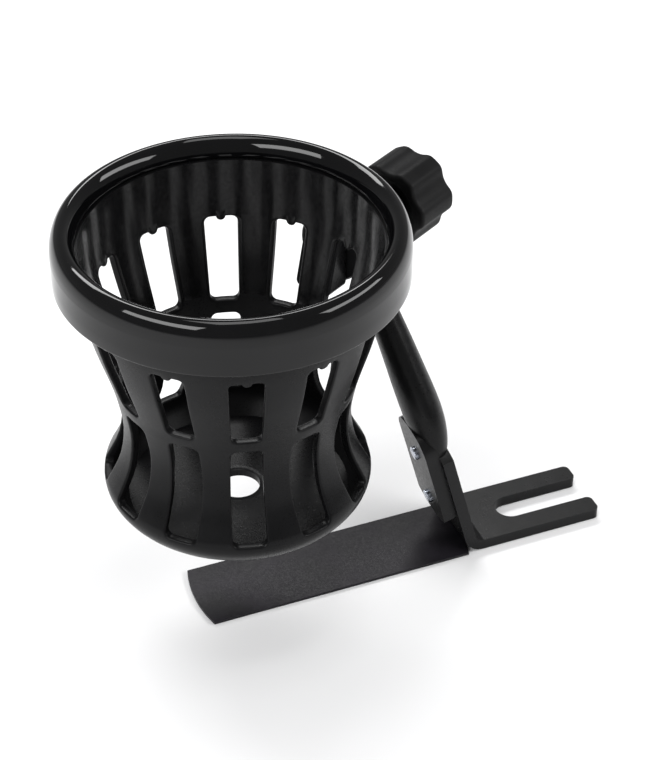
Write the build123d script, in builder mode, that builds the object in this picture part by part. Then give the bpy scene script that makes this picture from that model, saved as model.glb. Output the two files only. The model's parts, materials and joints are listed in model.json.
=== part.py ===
from build123d import *
from math import cos, sin, radians, sqrt
import os

# Cup holder on a ball-ended arm with a slotted bracket.
# Millimetres. +Z is up, the bracket's fork lies on z = 0 and opens towards +X.
# The origin is the centre of the slot's closed round end, on the underside.

os.makedirs("parts", exist_ok=True)

# ---- bracket ---------------------------------------------------------
plate_t = 4.0            # plate thickness
plate_w = 26.0           # plate width
fork_len = 51.0          # heel corner to the fork's tips
slot_w = 11.0            # fork slot
slot_depth = 34.5        # closed end to the tips
leg_len = 48.4           # heel corner to the top of the holed leg
leg_lean = 15.0          # lean of the holed leg past upright
heel_r = 7.5             # outer radius of the bend
leg_end_r = 22.5         # radius of the arched leg end
hole_a = (21.1, 42.6)    # fixing holes, measured up the leg from the heel
hole_r = 2.65
csk_r = 4.75

# ---- arm -------------------------------------------------------------
pad_w = 22.0
pad_t = 4.8
pad_start = 13.5         # free end of the pad, up the leg from the heel
bend_a = 55.5            # where the arm changes direction
bend_deg = 22.0          # sideways bend in the plane of the pad
stem_len = 70.0          # bend to ball centre
stem_d = -2.0            # stem axis, outwards of the leg's outer face
tap_r = 2.5

# ---- ball and clamp --------------------------------------------------
ball_r = 8.0
socket_r = 8.05
shank_r = 3.0
clamp_az = 30.0          # direction from the cup to the knob, from +X
ball_q = 60.0            # cup axis to ball centre
ball_h = 70.0            # ball centre above the cup's base
house_r = 12.0
house_q0 = 48.5
house_q1 = 69.3
house_q2 = 78.9
house_tip_r = 9.3
knob_q0 = 79.7
knob_t = 18.0
knob_r = 14.8

# ---- cup -------------------------------------------------------------
cup_h = 98.0
floor_t = 3.0
window_n = 12

# ---- strip -----------------------------------------------------------
strip_l = 98.3
strip_w = 28.0
strip_t = 1.0

# ---- frames ----------------------------------------------------------
L = radians(leg_lean)
B = radians(bend_deg)
C = radians(clamp_az)
corner = Vector(slot_depth - slot_w / 2 - fork_len, 0, 0)
up_leg = Vector(-sin(L), 0, cos(L))
out_leg = Vector(-cos(L), 0, -sin(L))
in_leg = out_leg * -1
side = Vector(0, 1, 0)
leg_plane = Plane(origin=corner, x_dir=up_leg, z_dir=out_leg)
in_plane = Plane(origin=corner + in_leg * plate_t, x_dir=up_leg, z_dir=in_leg)

stem_dir = up_leg * cos(B) + side * sin(B)
stem_side = side * cos(B) - up_leg * sin(B)
stem_base = corner + up_leg * bend_a + out_leg * stem_d
ball_c = stem_base + stem_dir * stem_len
stem_plane = Plane(origin=stem_base, x_dir=stem_side, z_dir=stem_side.cross(stem_dir))

R = Vector(cos(C), sin(C), 0)
T = Vector(-sin(C), cos(C), 0)
cup_c = ball_c - R * ball_q
base_z = ball_c.Z - ball_h
cup_axis = Axis((cup_c.X, cup_c.Y, 0), (0, 0, 1))
profile_plane = Plane(
    origin=(cup_c.X, cup_c.Y, base_z), x_dir=R, z_dir=(R.Y, -R.X, 0)
)
clamp_plane = Plane(origin=cup_c, x_dir=T, z_dir=R)


def radial_plane(deg, height):
    """Plane whose z points outwards from the cup's axis, y up."""
    a = C + radians(deg)
    return Plane(
        origin=(cup_c.X, cup_c.Y, base_z + height),
        x_dir=(-sin(a), cos(a), 0),
        z_dir=(cos(a), sin(a), 0),
    )


def leg_point(a, b, d):
    return corner + up_leg * a + side * b + out_leg * d


# ---- bracket ---------------------------------------------------------
outer_end = corner + up_leg * leg_len
inner_end = outer_end + in_leg * plate_t
inner_heel = corner + in_leg * plate_t
inner_heel = inner_heel + up_leg * ((plate_t - inner_heel.Z) / up_leg.Z)
tip_x = corner.X + fork_len

with BuildPart() as bracket:
    with BuildSketch(Plane.XZ):
        with BuildLine():
            Polyline(
                (tip_x, 0),
                (corner.X, 0),
                (outer_end.X, outer_end.Z),
                (inner_end.X, inner_end.Z),
                (inner_heel.X, plate_t),
                (tip_x, plate_t),
                close=True,
            )
        make_face()
    extrude(amount=plate_w / 2, both=True)
    fillet(
        bracket.edges().filter_by(Axis.Y).sort_by_distance((corner.X, 0, 0))[0], heel_r
    )
    fillet(
        bracket.edges()
        .filter_by(Axis.Y)
        .sort_by_distance((inner_heel.X, 0, plate_t))[0],
        heel_r - plate_t,
    )
    # fork slot
    with BuildSketch(Plane.XY.offset(-1)):
        Circle(slot_w / 2)
        with Locations((20, 0)):
            Rectangle(40, slot_w)
    extrude(amount=plate_t + 2, mode=Mode.SUBTRACT)
    # arched end of the leg
    with BuildSketch(leg_plane.offset(-plate_t - 1)):
        with Locations((leg_len, 0)):
            Rectangle(24, plate_w + 4)
        with Locations((leg_len - leg_end_r, 0)):
            Circle(leg_end_r, mode=Mode.SUBTRACT)
    extrude(amount=plate_t + 2, mode=Mode.SUBTRACT)
    # rounded tines
    fillet(
        bracket.edges().filter_by(Axis.Z).group_by(Axis.X)[-1],
        2.0,
    )
    # fixing holes, countersunk from the inside of the bend
    with Locations(*[in_plane.location * Location((a, 0, 0)) for a in hole_a]):
        CounterSinkHole(
            radius=hole_r, counter_sink_radius=csk_r, depth=plate_t, counter_sink_angle=90
        )

# ---- bracket screws --------------------------------------------------
with BuildPart() as bracket_screws:
    for a in hole_a:
        # x = radius, y = depth from the inner face towards the arm
        with BuildSketch(
            Plane(origin=leg_point(a, 0, -plate_t), x_dir=side, z_dir=side.cross(out_leg))
        ):
            with BuildLine():
                Polyline(
                    (0, 0.1),
                    (4.3, 0.1),
                    (4.45, 0.25),
                    (2.45, 2.25),
                    (2.45, 9.6),
                    (2.05, 10.0),
                    (0, 10.0),
                    close=True,
                )
            make_face()
        revolve(axis=Axis(leg_point(a, 0, 0), out_leg), revolution_arc=360)
    for a in hole_a:
        with BuildSketch(
            Plane(origin=leg_point(a, 0, -plate_t), x_dir=up_leg, z_dir=out_leg)
        ):
            RegularPolygon(1.75, 6)
        extrude(amount=2.3, mode=Mode.SUBTRACT)

# ---- arm -------------------------------------------------------------
sections = [
    # along, across, tangent angle, width, thickness, centre outwards of the leg
    (bend_a - 17.5, 0.0, 0.0, 20.5, 8.6, 0.4),
    (bend_a - 9.0, 0.0, 0.0, 21.6, 11.0, -0.8),
    (bend_a - 0.13, 0.66, bend_deg / 2, 21.4, 12.8, -1.7),
    (bend_a + 9.0 * cos(B), 9.0 * sin(B), bend_deg, 19.6, 13.0, -1.9),
    (bend_a + 22.0 * cos(B), 22.0 * sin(B), bend_deg, 16.6, 12.0, -2.0),
    (bend_a + 36.0 * cos(B), 36.0 * sin(B), bend_deg, 13.4, 10.8, -2.0),
    (bend_a + 50.0 * cos(B), 50.0 * sin(B), bend_deg, 10.6, 9.4, -2.0),
    (bend_a + 58.0 * cos(B), 58.0 * sin(B), bend_deg, 8.6, 8.6, -2.0),
]

with BuildPart() as arm:
    # swept body, wide at the pad and slim at the neck
    for a, b, ang, w, t, d in sections:
        g = radians(ang)
        with BuildSketch(
            Plane(
                origin=leg_point(a, b, d),
                x_dir=side * cos(g) - up_leg * sin(g),
                z_dir=up_leg * cos(g) + side * sin(g),
            )
        ):
            Ellipse(w / 2, t / 2)
    loft()
    # flat pad with an arched free end
    with BuildSketch(leg_plane):
        with Locations(((pad_start + 56) / 2, 0)):
            Rectangle(56 - pad_start, pad_w)
        with Locations((34.5, 0)):
            Circle(21.0, mode=Mode.INTERSECT)
        fillet(vertices().sort_by(Axis.X)[-2:], 7.5)
        fillet(vertices().sort_by(Axis.X)[:2], 1.0)
    extrude(amount=pad_t)
    # flared collar around the ball
    with BuildSketch(stem_plane):
        with BuildLine():
            Polyline(
                (0, 58),
                (4.3, 58),
                (4.45, 60.5),
                (5.0, 62.6),
                (6.2, 64.94),
                (0, 64.94),
                close=True,
            )
        make_face()
    revolve(axis=Axis(stem_base, stem_dir), revolution_arc=360)
    with Locations(ball_c):
        Sphere(socket_r, mode=Mode.SUBTRACT)
    # bore for the ball's shank
    with BuildSketch(
        Plane(origin=stem_base + stem_dir * (stem_len - 17.5), x_dir=stem_side, z_dir=stem_dir)
    ):
        Circle(shank_r + 0.06)
    extrude(amount=17.5, mode=Mode.SUBTRACT)
    # seat for the bracket, with a step shaped like the leg's end
    with BuildSketch(leg_plane):
        with Locations((24.45, 0)):
            Rectangle(48.9, 32)
        with Locations((leg_len - leg_end_r, 0)):
            Circle(leg_end_r + 0.5, mode=Mode.INTERSECT)
    extrude(amount=-14, mode=Mode.SUBTRACT)
    # tapped holes
    with BuildSketch(leg_plane.offset(-1)):
        with Locations(*[(a, 0) for a in hole_a]):
            Circle(tap_r)
    extrude(amount=pad_t + 3, mode=Mode.SUBTRACT)

# ---- ball ------------------------------------------------------------
with BuildPart() as ball:
    with BuildSketch(stem_plane):
        with BuildLine():
            Line((0, stem_len + ball_r), (0, stem_len - 17.0))
            Polyline(
                (0, stem_len - 17.0),
                (shank_r - 0.4, stem_len - 17.0),
                (shank_r, stem_len - 16.6),
                (shank_r, stem_len - sqrt(ball_r**2 - shank_r**2)),
            )
            ThreePointArc(
                (shank_r, stem_len - sqrt(ball_r**2 - shank_r**2)),
                (ball_r, stem_len),
                (0, stem_len + ball_r),
            )
        make_face()
    revolve(axis=Axis(stem_base, stem_dir), revolution_arc=360)

# ---- ball seat -------------------------------------------------------
with BuildPart() as ball_seat:
    with BuildSketch(clamp_plane.offset(50.3)):
        Circle(4.0)
    extrude(amount=2.59)
    with Locations(ball_c):
        Sphere(socket_r, mode=Mode.SUBTRACT)

# ---- pressure pad ----------------------------------------------------
with BuildPart() as pressure_pad:
    with BuildSketch(clamp_plane.offset(67.11)):
        Circle(4.0)
    extrude(amount=3.39)
    with Locations(ball_c):
        Sphere(socket_r, mode=Mode.SUBTRACT)

# ---- socket housing --------------------------------------------------
clamp_axis = Axis((cup_c.X, cup_c.Y, cup_c.Z), (R.X, R.Y, 0))
# x = T, y = up, z = outwards; a section plane holding the clamp axis
clamp_section = Plane(origin=cup_c, x_dir=(0, 0, 1), z_dir=T)
with BuildPart() as socket_housing:
    # x = distance from the clamp axis, y = distance from the cup's axis
    with BuildSketch(clamp_section):
        with BuildLine():
            Polyline(
                (0, house_q0),
                (house_r - 0.6, house_q0),
                (house_r, house_q0 + 0.6),
                (house_r, house_q1 - 1.5),
                (house_r - 0.35, house_q1),
                (house_tip_r + 0.4, house_q2 - 1.2),
                (house_tip_r - 0.8, house_q2),
                (0, house_q2),
                close=True,
            )
        make_face()
    revolve(axis=clamp_axis, revolution_arc=360)
    # chamber around the ball
    with BuildSketch(clamp_plane.offset(52.7)):
        Circle(8.7)
    extrude(amount=14.6, mode=Mode.SUBTRACT)
    # mouth on the underside for the stem
    with BuildSketch(clamp_plane.offset(52.7)):
        with Locations((0, 1.2 - 8)):
            Rectangle(30, 16)
    extrude(amount=14.6, mode=Mode.SUBTRACT)
    # pocket for the seat
    with BuildSketch(clamp_plane.offset(50.3)):
        Circle(4.05)
    extrude(amount=3, mode=Mode.SUBTRACT)
    # guide for the pressure pad
    with BuildSketch(clamp_plane.offset(66.5)):
        Circle(4.1)
    extrude(amount=7.2, mode=Mode.SUBTRACT)
    # threaded bore, at its crest
    with BuildSketch(clamp_plane.offset(73)):
        Circle(3.05)
    extrude(amount=7, mode=Mode.SUBTRACT)

# ---- clamp screw -----------------------------------------------------
with BuildPart() as clamp_screw:
    with BuildSketch(clamp_plane.offset(70.5)):
        Circle(2.95)
    extrude(amount=19.5)
    with BuildSketch(clamp_plane.offset(86)):
        RegularPolygon(5.5, 6)
    extrude(amount=4)

# ---- knob ------------------------------------------------------------
with BuildPart() as knob:
    with BuildSketch(clamp_plane.offset(knob_q0)):
        Circle(knob_r)
        with PolarLocations(21.9, 6, start_angle=30):
            Circle(9.0, mode=Mode.SUBTRACT)
        fillet(vertices(), 2.0)
    extrude(amount=knob_t)
    fillet(knob.faces().sort_by(clamp_axis)[-1].edges(), 1.5)
    fillet(knob.faces().sort_by(clamp_axis)[0].edges(), 1.0)
    # the screw's head is moulded in
    with BuildSketch(clamp_plane.offset(knob_q0 - 1)):
        Circle(3.0)
    extrude(amount=7.4, mode=Mode.SUBTRACT)
    with BuildSketch(clamp_plane.offset(85.95)):
        RegularPolygon(5.56, 6)
    extrude(amount=4.1, mode=Mode.SUBTRACT)

# ---- basket ----------------------------------------------------------
outer = [
    (36.9, 2.0), (40.4, 5.0), (43.0, 9.0), (43.2, 13.0), (41.3, 17.0), (39.3, 21.0), (37.9, 25.0),
    (37.0, 30.0), (36.7, 34.0), (36.9, 38.0), (37.5, 42.0), (38.3, 46.0), (39.2, 50.0), (40.9, 56.0),
    (43.9, 66.0), (47.1, 79.0), (48.7, 88.0), (49.4, 98.0),
]
inner = [
    (35.8, 3.0), (40.0, 9.0), (40.2, 13.0), (38.4, 17.0), (36.4, 21.0), (35.0, 25.0),
    (34.1, 30.0), (33.8, 34.0), (34.0, 38.0), (34.6, 42.0), (35.4, 46.0), (36.3, 50.0), (38.0, 56.0),
    (41.0, 66.0), (44.2, 79.0), (45.8, 88.0), (46.6, 98.0),
]
rows = [
    # bottom height, top height, half width at the bottom, half width at the top
    (12.2, 46.2, 5.4, 4.8),
    (50.8, 78.4, 4.7, 5.5),
]

with BuildPart() as basket:
    with BuildSketch(profile_plane):
        with BuildLine():
            Polyline((49.4, cup_h), (0, cup_h), (0, 0), (33.8, 0))
            Spline((33.8, 0), *outer)
        make_face()
    revolve(axis=cup_axis, revolution_arc=360)
    # boss that carries the socket housing
    with BuildSketch(clamp_plane.offset(36)):
        RectangleRounded(14, 24, 2.0)
    extrude(amount=house_q0 - 36)
    # hollow inside
    with BuildSketch(profile_plane):
        with BuildLine():
            Polyline((46.6, cup_h), (46.6, cup_h + 1), (0, cup_h + 1), (0, floor_t), inner[0])
            Spline(*inner)
        make_face()
    revolve(axis=cup_axis, revolution_arc=360, mode=Mode.SUBTRACT)
    # two rows of windows, with a small nib in the middle of each upper edge
    for z_lo, z_hi, w_lo, w_hi in rows:
        for k in range(window_n):
            with BuildSketch(radial_plane(15 + 360 / window_n * k, 0).offset(25)):
                with BuildLine():
                    Polyline(
                        (-w_lo, z_lo), (w_lo, z_lo), (w_hi, z_hi), (-w_hi, z_hi), close=True
                    )
                make_face()
                fillet(vertices(), 2.0)
                if z_hi > 60:
                    with Locations((0, z_hi)):
                        Circle(1.4, mode=Mode.SUBTRACT)
            extrude(amount=35, mode=Mode.SUBTRACT)
    # shallow pockets behind the rim ring, one for each of its snap hooks
    for k in range(window_n):
        with BuildSketch(radial_plane(15 + 360 / window_n * k, 90.6).offset(47.9)):
            Rectangle(6.2, 3.2)
        extrude(amount=3, mode=Mode.SUBTRACT)
    # drain hole
    with BuildSketch(Plane(origin=(cup_c.X, cup_c.Y, base_z - 1), z_dir=(0, 0, 1))):
        Circle(7.0)
    extrude(amount=floor_t + 2, mode=Mode.SUBTRACT)

# ---- rim ring --------------------------------------------------------
with BuildPart() as trim_ring:
    with BuildSketch(profile_plane):
        with BuildLine():
            Polyline((47.0, 99.6), (47.5, 98.1), (52.4, 98.1), (52.4, 87.4), (54.6, 87.4), (55.0, 87.8), (55.0, 97.5))
            Spline((55.0, 97.5), (54.5, 101.0), (53.2, 103.6), (51.2, 104.9), (49.2, 104.1), (47.8, 102.0), (47.0, 99.6))
        make_face()
    revolve(axis=cup_axis, revolution_arc=360)
    # snap hooks hidden behind the band
    for k in range(window_n):
        with BuildSketch(radial_plane(15 + 360 / window_n * k, 0).offset(50.2)):
            with Locations((0, 93.8)):
                Rectangle(5.0, 9.4)
        extrude(amount=1.2)
        with BuildSketch(radial_plane(15 + 360 / window_n * k, 0).offset(48.4)):
            with Locations((0, 90.3)):
                Rectangle(5.0, 2.0)
        extrude(amount=2.4)

# ---- strip -----------------------------------------------------------
with BuildPart() as strip:
    with BuildSketch(Plane.XY):
        with Locations((-20.5 - strip_l / 2, 0)):
            Rectangle(strip_l, strip_w)
            Circle(strip_l / 2 + 0.02, mode=Mode.INTERSECT)
    extrude(amount=strip_t)

# ---- export ----------------------------------------------------------
basket.part.label = "basket"
export_step(basket.part, "parts/basket.step")
trim_ring.part.label = "trim_ring"
export_step(trim_ring.part, "parts/trim_ring.step")
socket_housing.part.label = "socket_housing"
export_step(socket_housing.part, "parts/socket_housing.step")
ball_seat.part.label = "ball_seat"
export_step(ball_seat.part, "parts/ball_seat.step")
pressure_pad.part.label = "pressure_pad"
export_step(pressure_pad.part, "parts/pressure_pad.step")
clamp_screw.part.label = "clamp_screw"
export_step(clamp_screw.part, "parts/clamp_screw.step")
knob.part.label = "knob"
export_step(knob.part, "parts/knob.step")
ball.part.label = "ball"
export_step(ball.part, "parts/ball.step")
arm.part.label = "arm"
export_step(arm.part, "parts/arm.step")
bracket.part.label = "bracket"
export_step(bracket.part, "parts/bracket.step")
bracket_screws.part.label = "bracket_screws"
export_step(bracket_screws.part, "parts/bracket_screws.step")
strip.part.label = "strip"
export_step(strip.part, "parts/strip.step")
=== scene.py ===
import bpy, bmesh, json
from math import sin, cos, asin, atan2, sqrt, pi, radians, degrees
from mathutils import Vector, Matrix


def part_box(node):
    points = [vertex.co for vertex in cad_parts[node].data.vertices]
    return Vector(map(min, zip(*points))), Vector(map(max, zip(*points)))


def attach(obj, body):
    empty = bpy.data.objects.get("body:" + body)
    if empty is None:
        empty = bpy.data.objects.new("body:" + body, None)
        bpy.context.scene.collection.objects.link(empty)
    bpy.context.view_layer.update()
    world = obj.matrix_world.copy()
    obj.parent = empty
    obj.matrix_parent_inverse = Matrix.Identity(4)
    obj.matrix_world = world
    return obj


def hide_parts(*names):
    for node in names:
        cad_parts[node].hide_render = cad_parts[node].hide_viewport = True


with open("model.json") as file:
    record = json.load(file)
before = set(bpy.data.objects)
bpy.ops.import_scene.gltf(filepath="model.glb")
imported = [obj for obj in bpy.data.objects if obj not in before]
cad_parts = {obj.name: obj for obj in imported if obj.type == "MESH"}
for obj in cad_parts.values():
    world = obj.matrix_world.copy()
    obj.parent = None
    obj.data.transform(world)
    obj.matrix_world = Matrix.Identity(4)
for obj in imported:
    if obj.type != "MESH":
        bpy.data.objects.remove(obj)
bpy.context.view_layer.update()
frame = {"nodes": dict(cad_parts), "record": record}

nodes = frame["nodes"]
joints = {j["name"]: j for j in frame["record"]["behaviour"]["joints"]}

MM = 0.001
lo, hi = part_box("trim_ring")
AX, AY = (lo[0] + hi[0]) / 2, (lo[1] + hi[1]) / 2
Z0 = lo[2] - 87.4 * MM
BALL = Vector(joints["cup_swing"]["pos_m"])
R = Vector(joints["cup_swing"]["axis"]).normalized()
UP = Vector((0, 0, 1))
T = UP.cross(R)
C = atan2(R.y, R.x)


# ---------------------------------------------------------------- materials
def material(name, color, rough, metallic=0.0, grain=(2500, 0.12), swell=(90, 0.0),
             rough_var=0.08, color_var=0.25, tint=None, coat=0.0, coat_rough=0.05,
             specular=0.5, scratch=0.0, sheen=0.0, dust=0.0, stretch=1.0):
    m = bpy.data.materials.new(name)
    m.use_nodes = True
    nt = m.node_tree
    nt.nodes.clear()
    out = nt.nodes.new("ShaderNodeOutputMaterial")
    b = nt.nodes.new("ShaderNodeBsdfPrincipled")
    nt.links.new(b.outputs[0], out.inputs[0])
    b.inputs["Metallic"].default_value = metallic
    b.inputs["Coat Weight"].default_value = coat
    b.inputs["Coat Roughness"].default_value = coat_rough
    b.inputs["Specular IOR Level"].default_value = specular
    if sheen:
        b.inputs["Sheen Weight"].default_value = sheen
        b.inputs["Sheen Roughness"].default_value = 0.4
    tc = nt.nodes.new("ShaderNodeTexCoord")

    tall = nt.nodes.new("ShaderNodeMapping")
    tall.inputs["Scale"].default_value = (1.0, 1.0, stretch)
    nt.links.new(tc.outputs["Object"], tall.inputs["Vector"])

    def noise(scale, detail=3.0, dist=0.0, along=False):
        n = nt.nodes.new("ShaderNodeTexNoise")
        n.inputs["Scale"].default_value = scale
        n.inputs["Detail"].default_value = detail
        n.inputs["Distortion"].default_value = dist
        nt.links.new(tall.outputs["Vector"] if along else tc.outputs["Object"], n.inputs["Vector"])
        return n.outputs["Fac"]

    def remap(src, a, c, lo=0.3, hi=0.7):
        r = nt.nodes.new("ShaderNodeMapRange")
        r.inputs["From Min"].default_value = lo
        r.inputs["From Max"].default_value = hi
        r.inputs["To Min"].default_value = a
        r.inputs["To Max"].default_value = c
        nt.links.new(src, r.inputs["Value"])
        return r.outputs["Result"]

    # colour: broad, faint clouding between two close tones
    mix = nt.nodes.new("ShaderNodeMix")
    mix.data_type = "RGBA"
    dark = [c * (1 - color_var) for c in color]
    light = [min(1, c * (1 + color_var)) for c in (tint or color)]
    mix.inputs["A"].default_value = (*dark, 1)
    mix.inputs["B"].default_value = (*light, 1)
    nt.links.new(remap(noise(70, 4), 0, 1), mix.inputs["Factor"])
    color_out = mix.outputs["Result"]
    if dust:
        mix2 = nt.nodes.new("ShaderNodeMix")
        mix2.data_type = "RGBA"
        mix2.inputs["B"].default_value = (0.35, 0.35, 0.36, 1)
        nt.links.new(color_out, mix2.inputs["A"])
        nt.links.new(remap(noise(1800, 1), 0, dust, 0.66, 0.8), mix2.inputs["Factor"])
        color_out = mix2.outputs["Result"]
    nt.links.new(color_out, b.inputs["Base Color"])

    # roughness: fine and broad variation
    add = nt.nodes.new("ShaderNodeMath")
    add.operation = "ADD"
    nt.links.new(remap(noise(grain[0] * 0.6, 2), rough - rough_var, rough + rough_var), add.inputs[0])
    nt.links.new(remap(noise(35, 3), -rough_var * 0.6, rough_var * 0.6), add.inputs[1])
    nt.links.new(add.outputs[0], b.inputs["Roughness"])

    # bump: grain, optional long swell and hairlines
    last = None
    for scale, strength, depth, det in ((grain[0], grain[1], 0.00008, 2.0), (swell[0], swell[1], 0.0012, 1.0)):
        if strength <= 0:
            continue
        bp = nt.nodes.new("ShaderNodeBump")
        bp.inputs["Strength"].default_value = strength
        bp.inputs["Distance"].default_value = depth
        nt.links.new(noise(scale, det, along=depth > 0.0005), bp.inputs["Height"])
        if last is not None:
            nt.links.new(last, bp.inputs["Normal"])
        last = bp.outputs["Normal"]
    if scratch:
        w = nt.nodes.new("ShaderNodeTexWave")
        w.inputs["Scale"].default_value = 900
        w.inputs["Distortion"].default_value = 12
        w.inputs["Detail"].default_value = 3
        nt.links.new(tc.outputs["Object"], w.inputs["Vector"])
        bp = nt.nodes.new("ShaderNodeBump")
        bp.inputs["Strength"].default_value = scratch
        bp.inputs["Distance"].default_value = 0.00005
        nt.links.new(w.outputs["Fac"], bp.inputs["Height"])
        if last is not None:
            nt.links.new(last, bp.inputs["Normal"])
        last = bp.outputs["Normal"]
    if last is not None:
        nt.links.new(last, b.inputs["Normal"])
    return m


M_basket = material("basket_satin", (0.0052, 0.0052, 0.0056), 0.31, grain=(2600, 0.09), rough_var=0.05, specular=0.12)
M_inner = material("basket_inner_gloss", (0.0045, 0.0045, 0.0048), 0.15, grain=(1500, 0.03), swell=(150, 0.16),
                   rough_var=0.04, specular=0.22, stretch=0.10)
M_ring = material("ring_gloss", (0.0022, 0.0022, 0.0025), 0.06, grain=(500, 0.010), swell=(60, 0.010), rough_var=0.02,
                  coat=0.3, coat_rough=0.02, specular=0.16)
M_house = material("housing_satin", (0.0060, 0.0060, 0.0064), 0.38, grain=(2600, 0.14), rough_var=0.06, specular=0.14)
M_knob = material("knob_matt", (0.0065, 0.0065, 0.0068), 0.50, grain=(3600, 0.35), rough_var=0.07, specular=0.13)
M_powder = material("powder_coat", (0.0055, 0.0055, 0.0058), 0.34, grain=(1700, 0.30), swell=(160, 0.05), rough_var=0.06,
                    specular=0.17)
M_ball = material("blasted_aluminium", (0.56, 0.56, 0.57), 0.38, metallic=1.0, grain=(5200, 0.35), rough_var=0.07,
                  color_var=0.06)
M_zinc = material("bright_zinc", (0.50, 0.56, 0.66), 0.27, metallic=1.0, grain=(2500, 0.10), rough_var=0.09,
                  color_var=0.10, tint=(0.62, 0.62, 0.66), scratch=0.15)
M_nylon = material("nylon", (0.50, 0.49, 0.45), 0.5, grain=(3000, 0.15), color_var=0.05)
M_strip = material("strip_rubber", (0.0085, 0.0078, 0.0098), 0.42, grain=(2200, 0.25), swell=(120, 0.04), rough_var=0.07,
                   tint=(0.0115, 0.0098, 0.0135), sheen=0.05, dust=0.03, specular=0.16)


# ---------------------------------------------------------------- helpers
def build(name, verts, faces, mat, body, stands_for=(), merge=True, sharp=35):
    me = bpy.data.meshes.new(name)
    me.from_pydata([tuple(v) for v in verts], [], faces)
    if merge:
        bm = bmesh.new()
        bm.from_mesh(me)
        bmesh.ops.remove_doubles(bm, verts=bm.verts, dist=2e-6)
        bmesh.ops.dissolve_degenerate(bm, edges=bm.edges, dist=1e-7)
        bmesh.ops.recalc_face_normals(bm, faces=bm.faces)
        bm.to_mesh(me)
        bm.free()
    me.polygons.foreach_set("use_smooth", [True] * len(me.polygons))
    me.set_sharp_from_angle(angle=radians(sharp))
    me.materials.append(mat)
    o = bpy.data.objects.new(name, me)
    bpy.context.scene.collection.objects.link(o)
    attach(o, body)
    if stands_for:
        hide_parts(*stands_for)
    return o


def smooth_line(pts, n):
    """Catmull-Rom points through pts."""
    p = [pts[0]] + list(pts) + [pts[-1]]
    out = []
    for i in range(1, len(p) - 2):
        for k in range(n):
            t = k / n
            a = [0.5 * (2 * p[i][d] + (p[i + 1][d] - p[i - 1][d]) * t
                        + (2 * p[i - 1][d] - 5 * p[i][d] + 4 * p[i + 1][d] - p[i + 2][d]) * t * t
                        + (3 * p[i][d] - p[i - 1][d] - 3 * p[i + 1][d] + p[i + 2][d]) * t ** 3) for d in (0, 1)]
            out.append(tuple(a))
    out.append(tuple(pts[-1]))
    return out


def table_fn(pts):
    """Radius as a smooth function of height."""
    z = [p[1] for p in pts]
    r = [p[0] for p in pts]
    n = len(z)
    m = []
    for i in range(n):
        a, c = max(0, i - 1), min(n - 1, i + 1)
        m.append((r[c] - r[a]) / (z[c] - z[a]))

    def f(h):
        if h <= z[0]:
            return r[0]
        if h >= z[-1]:
            return r[-1]
        i = max(k for k in range(n - 1) if z[k] <= h)
        d = z[i + 1] - z[i]
        t = (h - z[i]) / d
        return ((2 * t ** 3 - 3 * t * t + 1) * r[i] + (t ** 3 - 2 * t * t + t) * d * m[i]
                + (-2 * t ** 3 + 3 * t * t) * r[i + 1] + (t ** 3 - t * t) * d * m[i + 1])
    return f


def cup(rho, ang, h):
    """Point in the cup's own cylinder, mm, angle from the clamp."""
    a = C + ang
    return (AX + rho * MM * cos(a), AY + rho * MM * sin(a), Z0 + h * MM)


def clamp(x, y, q):
    """Point by the clamp axis: x sideways, y up, q outwards from the cup's axis, mm."""
    return BALL + T * (x * MM) + UP * (y * MM) + R * ((q - 60.0) * MM)


def lathe_cup(profile, seg):
    n = len(profile)
    v = [cup(r, 2 * pi * s / seg, z) for s in range(seg) for r, z in profile]
    f = []
    for s in range(seg):
        t = (s + 1) % seg
        for i in range(n):
            j = (i + 1) % n
            f.append((s * n + i, t * n + i, t * n + j, s * n + j))
    return v, f


# ---------------------------------------------------------------- rim ring
crown = smooth_line([(55.0, 97.4), (54.75, 100.0), (54.0, 102.4), (52.8, 104.1), (51.2, 104.85), (49.7, 104.4),
                     (48.4, 103.0), (47.5, 101.2), (47.05, 99.7)], 5)
prof = [(52.4, 87.45), (54.5, 87.42), (54.78, 87.5), (54.94, 87.7), (54.98, 88.0), (54.98, 92.0), (54.98, 96.9)]
prof += crown + [(47.2, 98.9), (47.6, 98.3), (48.2, 98.12), (52.4, 98.12)]
v, f = lathe_cup(prof, 224)
build("rim_ring", v, f, M_ring, "basket", ("trim_ring",), sharp=40)

# ---------------------------------------------------------------- basket
rho_o = table_fn([(33.8, 0), (36.9, 2.0), (40.4, 5.0), (43.0, 9.0), (43.2, 13.0), (41.3, 17.0), (39.3, 21.0),
                  (37.9, 25.0), (37.0, 30.0), (36.7, 34.0), (36.9, 38.0), (37.5, 42.0), (38.3, 46.0), (39.2, 50.0),
                  (40.9, 56.0), (43.9, 66.0), (47.1, 79.0), (48.7, 88.0), (49.4, 98.0)])
rho_i = table_fn([(35.8, 3.0), (40.0, 9.0), (40.2, 13.0), (38.4, 17.0), (36.4, 21.0), (35.0, 25.0),
                  (34.1, 30.0), (33.8, 34.0), (34.0, 38.0), (34.6, 42.0), (35.4, 46.0), (36.3, 50.0),
                  (38.0, 56.0), (41.0, 66.0), (44.2, 79.0), (45.8, 88.0), (46.6, 98.0)])
WINDOWS = [(12.2, 46.2, 5.4, 4.8, False), (50.8, 78.4, 4.7, 5.5, True)]
EDGE = 0.70          # rounding of the window edges
RC = 2.0             # window corner radius
NIB = 1.5
S_IN = [-1.0, -0.72, -0.46, -0.40, -0.34, -0.25, -0.13, 0.0, 0.13, 0.25, 0.34, 0.40, 0.46, 0.72, 1.0]
G_OUT = [0.12, 0.3, 0.55, 0.8, 1.0]
CORNER = [radians(a) for a in (0, 15, 30, 45, 60, 75, 90)]


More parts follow.
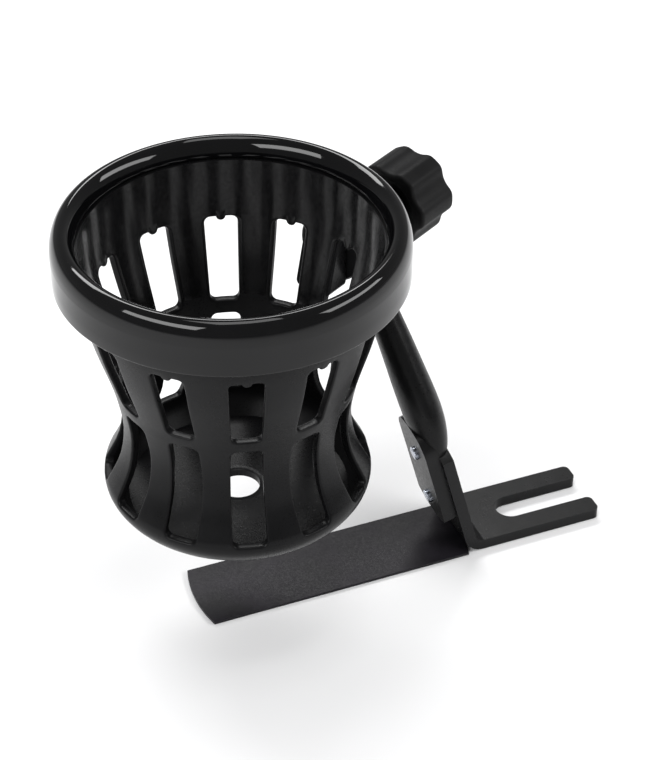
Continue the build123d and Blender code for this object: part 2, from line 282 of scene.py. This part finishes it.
def win_rows(w, d):
    """Rows of one window for an outline grown by d: (height, half width)."""
    z_lo, z_hi, w_lo, w_hi, _ = w
    r = RC + d

    def half(z):
        return w_lo + (w_hi - w_lo) * (z - z_lo) / (z_hi - z_lo) + d
    rows = []
    for a in CORNER:
        z = z_lo - d + r * (1 - cos(a))
        rows.append((z, half(z) - r * (1 - sin(a))))
    n = 9
    for i in range(1, n):
        z = z_lo + RC + (z_hi - z_lo - 2 * RC) * i / n
        rows.append((z, half(z)))
    for a in reversed(CORNER):
        z = z_hi + d - r * (1 - cos(a))
        rows.append((z, half(z) - r * (1 - sin(a))))
    return rows


def nib(w, s):
    return NIB * 0.9 * sqrt(max(0.0, 1 - (s / NIB) ** 2)) if w[4] else 0.0


rows = []            # (height, half width at the edge column, window index, place in the window)
for z in (0.0, 0.35, 0.9, 1.6, 2.4, 3.0, 4.0, 5.2, 6.6, 8.2, 9.6, 10.7):
    rows.append((z, 3.4, None, 0))
first = []
for k, w in enumerate(WINDOWS):
    wr = win_rows(w, EDGE)
    for i, (z, h) in enumerate(wr):
        rows.append((z, h, k, i))
    if k == 0:
        rows.append((48.5, 2.75, None, 0))
for z in (80.8, 84.0, 88.0, 93.0, 97.4, 98.0):
    rows.append((z, 3.5, None, 0))

N_WIN = 12
verts, faces = [], []


def cols(z, h, surf, top_of=None):
    """One row of points across a sector, left to right."""
    rho = surf(z)
    edge = asin(min(0.9, h / rho))
    lim = radians(15)
    left = [(-(edge + (lim - edge) * g), z) for g in reversed(G_OUT)]
    right = [(edge + (lim - edge) * g, z) for g in G_OUT]
    mid = []
    for s in S_IN:
        zz = z
        if top_of is not None:
            zz = z - nib(top_of, s * h)
        mid.append((asin(s * h / surf(zz)), zz))
    return [(surf(zz), a, zz) for a, zz in left + mid + right]


NC = len(S_IN) + 2 * len(G_OUT)
L_COL, R_COL = len(G_OUT), len(G_OUT) + len(S_IN) - 1
for k in range(N_WIN):
    mid_a = radians(15 + 30 * k)
    for surf, z_from in ((rho_o, -1), (rho_i, 2.99)):
        base = len(verts)
        used = [r for r in rows if r[0] > z_from]
        for z, h, w, i in used:
            top = WINDOWS[w] if (w is not None and i == len(win_rows(WINDOWS[w], 0)) - 1) else None
            for rho, a, zz in cols(z, h, surf, top):
                verts.append(cup(rho, mid_a + a, zz))
        for r in range(len(used) - 1):
            inside = used[r][2] is not None and used[r][2] == used[r + 1][2]
            for c in range(NC - 1):
                if inside and L_COL <= c < R_COL:
                    continue
                faces.append((base + r * NC + c, base + r * NC + c + 1, base + (r + 1) * NC + c + 1, base + (r + 1) * NC + c))
        # floor rings down to the drain hole
        z_f = 0.0 if surf is rho_o else 3.0
        h_f = used[0][1]
        row0 = [a for _, a, _ in cols(used[0][0], h_f, surf)]
        prev = base
        for rr in ((32.5, 27.0, 18.0, 9.0, 7.6, 7.0) if surf is rho_o else (35.0, 33.5, 28.0, 18.0, 9.0, 7.6, 7.0)):
            cur = len(verts)
            dip = 0.3 if (surf is rho_i and rr <= 7.0) else (-0.3 if rr <= 7.0 else 0)
            for a in row0:
                verts.append(cup(rr, mid_a + a, z_f - dip))
            for c in range(NC - 1):
                faces.append((prev + c, prev + c + 1, cur + c + 1, cur + c))
            prev = cur
        if surf is rho_o:
            drain_o, rim_o = prev, base + (len(used) - 1) * NC
        else:
            rim_i = base + (len(used) - 1) * NC
            for c in range(NC - 1):
                faces.append((drain_o + c, drain_o + c + 1, prev + c + 1, prev + c))
                faces.append((rim_o + c, rim_o + c + 1, rim_i + c + 1, rim_i + c))
    # window walls with rounded edges
    for w in WINDOWS:
        rings = []
        steps = [radians(a) for a in (0, 22.5, 45, 67.5, 90)]
        plan = [("o", EDGE * (1 - cos(a)), EDGE * (1 - sin(a))) for a in steps]
        plan += [("i", EDGE * (1 - cos(a)), EDGE * (1 - sin(a))) for a in reversed(steps)]
        for side, depth, grow in plan:
            wr = win_rows(w, grow)
            loop = []
            z, h = wr[0]
            loop += [(s * h, z) for s in S_IN]
            loop += [(h, z) for z, h in wr[1:-1]]
            z, h = wr[-1]
            loop += [(s * h, z - nib(w, s * h)) for s in reversed(S_IN)]
            loop += [(-h, z) for z, h in reversed(wr[1:-1])]
            ids = []
            for s, z in loop:
                rho = rho_o(z) - depth if side == "o" else rho_i(z) + depth
                ids.append(len(verts))
                verts.append(cup(rho, mid_a + asin(s / rho), z))
            rings.append(ids)
        for a, b in zip(rings, rings[1:]):
            n = len(a)
            for i in range(n):
                faces.append((a[i], a[(i + 1) % n], b[(i + 1) % n], b[i]))
basket = build("basket_shell", verts, faces, M_basket, "basket", ("basket",), sharp=50)

basket.data.materials.append(M_inner)
for p in basket.data.polygons:
    c = Vector((p.center.x - AX, p.center.y - AY))
    h = (p.center.z - Z0) / MM
    if h > 53 and c.length / MM < rho_i(h) + 0.25 and p.normal.x * c.x + p.normal.y * c.y < 0:
        p.material_index = 1

# boss behind the wall
bw, bh, br = 6.95, 11.95, 2.0
outline = []
for cx, cy, a0 in ((bw - br, bh - br, 0), (-bw + br, bh - br, 90), (-bw + br, -bh + br, 180), (bw - br, -bh + br, 270)):
    for i in range(7):
        a = radians(a0 + 15 * i)
        outline.append((cx + br * cos(a), cy + br * sin(a)))
stations = [(41.6, 0.0), (47.9, 0.0), (48.25, 0.12), (48.45, 0.4)]
verts, faces = [], []
n = len(outline)
for k, (q, inset) in enumerate(stations):
    for x, y in outline:
        # the first ring of points lies inside the basket's wall
        start = sqrt((rho_i(70 + y) + 1.3) ** 2 - x * x)
        verts.append(clamp(x * (1 - inset / bw), y * (1 - inset / bh), start if k == 0 else q))
for s in range(len(stations) - 1):
    for i in range(n):
        j = (i + 1) % n
        faces.append((s * n + i, s * n + j, (s + 1) * n + j, (s + 1) * n + i))
faces.append(tuple(range(n)))
faces.append(tuple((len(stations) - 1) * n + i for i in reversed(range(n))))
build("basket_boss", verts, faces, M_basket, "basket", (), sharp=40)


# ---------------------------------------------------------------- knob
K0, K1, KR = 79.7, 97.7, 14.78
raw = []
NPHI = 360
for i in range(NPHI):
    phi = radians(i * 360 / NPHI)
    best = KR
    for k in range(6):
        al = phi - radians(30 + 60 * k)
        al = (al + pi) % (2 * pi) - pi
        if abs(sin(al)) < 9 / 21.9 and cos(al) > 0:
            best = min(best, 21.9 * cos(al) - sqrt(81 - 479.61 * sin(al) ** 2))
    raw.append(best)
W = 5
outl = [sum(raw[(i + d) % NPHI] for d in range(-W, W + 1)) / (2 * W + 1) for i in range(NPHI)]
stations = []
for a in range(0, 91, 15):
    stations.append((K0 + 1.2 * (1 - sin(radians(a))), 1.2 * (1 - cos(radians(a)))))
stations = sorted(stations, key=lambda s: s[0])
stations += [(84.0, 0.0), (89.0, 0.0), (93.0, 0.0)]
for a in range(0, 91, 10):
    stations.append((K1 - 2.0 * (1 - sin(radians(a))), 2.0 * (1 - cos(radians(a)))))
verts, faces = [], []
for q, ins in stations:
    for i in range(NPHI):
        phi = radians(i * 360 / NPHI)
        r = outl[i] - ins
        verts.append(clamp(r * cos(phi), r * sin(phi), q))
# front face: flat land, round groove, shallow dish
inner = [(9.6, 97.68), (9.3, 97.66), (9.0, 97.4), (8.9, 97.1), (8.6, 96.95), (8.3, 97.1), (8.2, 97.35), (7.9, 97.5),
         (6.0, 97.42), (3.5, 97.3), (1.2, 97.25)]
for r, q in inner:
    for i in range(NPHI):
        phi = radians(i * 360 / NPHI)
        verts.append(clamp(r * cos(phi), r * sin(phi), q))
n_st = len(stations) + len(inner)
for s in range(n_st - 1):
    for i in range(NPHI):
        j = (i + 1) % NPHI
        faces.append((s * NPHI + i, s * NPHI + j, (s + 1) * NPHI + j, (s + 1) * NPHI + i))
faces.append(tuple((n_st - 1) * NPHI + i for i in range(NPHI)))
# back face, with a shallow round well round the screw
back = [(10.4, 79.74), (10.1, 79.9), (10.0, 80.3), (9.9, 81.2), (9.5, 81.5), (5.2, 81.5), (5.0, 81.3), (4.9, 80.6),
        (4.6, 80.3), (3.1, 80.3), (3.05, 80.5)]
b0 = len(verts)
for r, q in back:
    for i in range(NPHI):
        phi = radians(i * 360 / NPHI)
        verts.append(clamp(r * cos(phi), r * sin(phi), q))
for i in range(NPHI):
    j = (i + 1) % NPHI
    faces.append((i, j, b0 + j, b0 + i))
for s in range(len(back) - 1):
    for i in range(NPHI):
        j = (i + 1) % NPHI
        faces.append((b0 + s * NPHI + i, b0 + s * NPHI + j, b0 + (s + 1) * NPHI + j, b0 + (s + 1) * NPHI + i))
last = b0 + (len(back) - 1) * NPHI
faces.append(tuple(last + i for i in range(NPHI)))
build("hand_knob", verts, faces, M_knob, "knob", ("knob",), sharp=40)

# ---------------------------------------------------------------- kept CAD pieces
def dress(node, mat, bevel=0.0, seg=3, angle=28, sharp=32):
    o = nodes[node]
    for s in o.material_slots:
        s.material = mat
    if not o.material_slots:
        o.data.materials.append(mat)
    if bevel:
        b = o.modifiers.new("edge", "BEVEL")
        b.width = bevel * MM
        b.segments = seg
        b.limit_method = "ANGLE"
        b.angle_limit = radians(angle)
        b.harden_normals = False
        w = o.modifiers.new("shade", "WEIGHTED_NORMAL")
        w.keep_sharp = True


dress("bracket", M_powder, 0.7)
dress("arm", M_powder, 0.6, 3, 42)
dress("strip", M_strip, 0.22, 2)
dress("socket_housing", M_house, 0.45)
dress("bracket_screws", M_zinc, 0.12, 2)
dress("clamp_screw", M_zinc)
dress("ball", M_ball)
dress("ball_seat", M_nylon, 0.15, 2)
dress("pressure_pad", M_nylon, 0.15, 2)

# ---------------------------------------------------------------- floor, light, camera
s = 9.0
me = bpy.data.meshes.new("floor")
me.from_pydata([(-s, -s, 0), (s, -s, 0), (s, s, 0), (-s, s, 0)], [], [(0, 1, 2, 3)])
floor = bpy.data.objects.new("floor", me)
floor.location.z = -0.0003
bpy.context.scene.collection.objects.link(floor)
fm = bpy.data.materials.new("pale_floor")
fm.use_nodes = True
fb = fm.node_tree.nodes["Principled BSDF"]
fb.inputs["Base Color"].default_value = (0.86, 0.86, 0.865, 1)
fb.inputs["Roughness"].default_value = 0.7
fb.inputs["Specular IOR Level"].default_value = 0.2
me.materials.append(fm)

world = bpy.data.worlds.new("studio")
bpy.context.scene.world = world
world.use_nodes = True
bg = world.node_tree.nodes["Background"]
bg.inputs["Color"].default_value = (1.0, 1.0, 1.0, 1)
bg.inputs["Strength"].default_value = 0.27

middle = Vector((AX, AY, 0.07))


def softbox(name, pos, size_x, size_y, power, aim=None):
    d = bpy.data.lights.new(name, "AREA")
    d.shape = "RECTANGLE"
    d.size, d.size_y = size_x, size_y
    d.energy = power
    o = bpy.data.objects.new(name, d)
    o.location = pos
    o.rotation_euler = ((aim or middle) - Vector(pos)).to_track_quat("-Z", "Y").to_euler()
    bpy.context.scene.collection.objects.link(o)
    return o


softbox("key_left", (-1.05, -0.45, 0.80), 1.0, 0.40, 11.5)
softbox("key_right", (0.80, -0.50, 0.70), 0.9, 0.30, 7)
softbox("top_back", (-0.05, 0.85, 1.05), 1.1, 0.28, 11)
softbox("over", (-0.1, -0.1, 1.5), 0.6, 0.6, 5)

cam_d = bpy.data.cameras.new("camera")
cam_d.sensor_width = 36
cam_d.lens = 103.8
cam_d.clip_start, cam_d.clip_end = 0.01, 20
cam = bpy.data.objects.new("camera", cam_d)
az, pitch, dist = radians(68), radians(37), 0.72
look = Vector((cos(az) * cos(pitch), sin(az) * cos(pitch), -sin(pitch)))
target = Vector((-0.0694, 0.0051, 0.0763))
cam.location = target - look * dist
cam.rotation_euler = look.to_track_quat("-Z", "Y").to_euler()
bpy.context.scene.collection.objects.link(cam)
bpy.context.scene.camera = cam
bpy.context.scene.view_settings.view_transform = "Standard"
